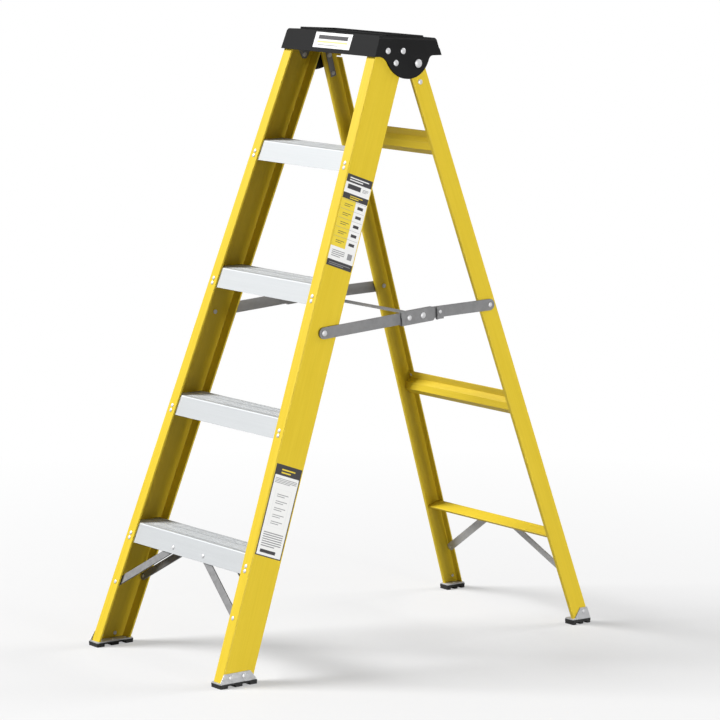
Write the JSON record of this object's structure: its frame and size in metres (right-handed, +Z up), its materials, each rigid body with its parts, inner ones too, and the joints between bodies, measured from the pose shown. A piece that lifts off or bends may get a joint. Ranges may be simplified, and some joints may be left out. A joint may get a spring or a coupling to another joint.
{
  "type": "platform step ladder",
  "caption": "Yellow fibreglass step ladder with ribbed aluminium treads, black moulded top cap, hinged rear frame and folding spreaders.",
  "frame": {"origin": "centre of the footprint at floor level, with the ladder open", "axes": "+Z up, the climber stands on the -Y side and climbs towards +Y, +X is the climber's right"},
  "size_m": [0.524, 1.072, 1.3948],
  "materials": {
    "fibreglass": "satin pultruded yellow fibreglass",
    "tread_aluminium": "bright ribbed extrusion",
    "brace_steel": "grey galvanised strip",
    "foot_steel": "bright galvanised plate",
    "cap_plastic": "fine moulded grain, black",
    "bush_nylon": "natural nylon",
    "foot_rubber": "black moulded rubber",
    "rivet_steel": "bright zinc",
    "label_print": "printed film"
  },
  "bodies": {
    "front_frame": {"front_stile_left": "fibreglass", "front_stile_right": "fibreglass", "tread_1": "tread_aluminium", "tread_2": "tread_aluminium", "tread_3": "tread_aluminium", "tread_4": "tread_aluminium", "tread_rivets": "rivet_steel", "tread_brace_front_left": "brace_steel", "tread_brace_front_right": "brace_steel", "tread_brace_rear_left": "brace_steel", "tread_brace_rear_right": "brace_steel", "tread_brace_rivets": "rivet_steel", "top_cap": "cap_plastic", "cap_backing_plate_left": "brace_steel", "cap_backing_plate_right": "brace_steel", "cap_rivets": "rivet_steel", "hinge_bolts": "rivet_steel", "hinge_bushes": "bush_nylon", "front_foot_bracket_left": "foot_steel", "front_foot_bracket_right": "foot_steel", "front_foot_pad_left": "foot_rubber", "front_foot_pad_right": "foot_rubber", "front_foot_rivets": "rivet_steel", "front_pad_screws": "rivet_steel", "spreader_front_pivots": "rivet_steel", "label_upper": "label_print", "label_lower": "label_print", "label_cap": "label_print"},
    "rear_frame": {"rear_stile_left": "fibreglass", "rear_stile_right": "fibreglass", "rear_rail_top": "fibreglass", "rear_rail_middle": "fibreglass", "rear_rail_bottom": "fibreglass", "rear_brace_left": "brace_steel", "rear_brace_right": "brace_steel", "rear_frame_rivets": "rivet_steel", "hinge_strap_left": "brace_steel", "hinge_strap_right": "brace_steel", "hinge_strap_rivets": "rivet_steel", "rear_foot_bracket_left": "foot_steel", "rear_foot_bracket_right": "foot_steel", "rear_foot_pad_left": "foot_rubber", "rear_foot_pad_right": "foot_rubber", "rear_foot_rivets": "rivet_steel", "rear_pad_screws": "rivet_steel", "spreader_rear_pivots": "rivet_steel"},
    "spreader_front": {"spreader_front_link_left": "brace_steel", "spreader_front_link_right": "brace_steel", "spreader_cover_left": "brace_steel", "spreader_cover_right": "brace_steel", "spreader_tie_bar": "brace_steel", "spreader_centre_pins": "rivet_steel", "spreader_cover_rivets": "rivet_steel"},
    "spreader_rear_right": {"spreader_rear_link_right": "brace_steel", "spreader_stop_tab_right": "brace_steel", "spreader_rear_rivets_right": "rivet_steel"},
    "spreader_rear_left": {"spreader_rear_link_left": "brace_steel", "spreader_stop_tab_left": "brace_steel", "spreader_rear_rivets_left": "rivet_steel"}
  },
  "joints": [
    {"name": "rear_frame_fold", "type": "hinge", "parent": "front_frame", "child": "rear_frame", "pos_m": [0, 0.0688, 1.3275], "axis": [-1, 0, 0], "range_deg": [0, 36]},
    {"name": "spreader_front_fold", "type": "hinge", "parent": "front_frame", "child": "spreader_front", "pos_m": [0, -0.221, 0.7485], "axis": [1, 0, 0], "range_deg": [0, 51.57]},
    {"name": "spreader_rear_right_fold", "type": "hinge", "parent": "spreader_front", "child": "spreader_rear_right", "pos_m": [0, 0.051, 0.7663], "axis": [-1, 0, 0], "range_deg": [0, 155.81]},
    {"name": "spreader_rear_left_fold", "type": "hinge", "parent": "spreader_front", "child": "spreader_rear_left", "pos_m": [0, 0.051, 0.7663], "axis": [-1, 0, 0], "range_deg": [0, 155.81]}
  ],
  "couplings": [
    {"joint": "spreader_front_fold", "follows": "rear_frame_fold", "ratio": 1.4324},
    {"joint": "spreader_rear_right_fold", "follows": "rear_frame_fold", "ratio": 4.3279},
    {"joint": "spreader_rear_left_fold", "follows": "rear_frame_fold", "ratio": 4.3279}
  ]
}
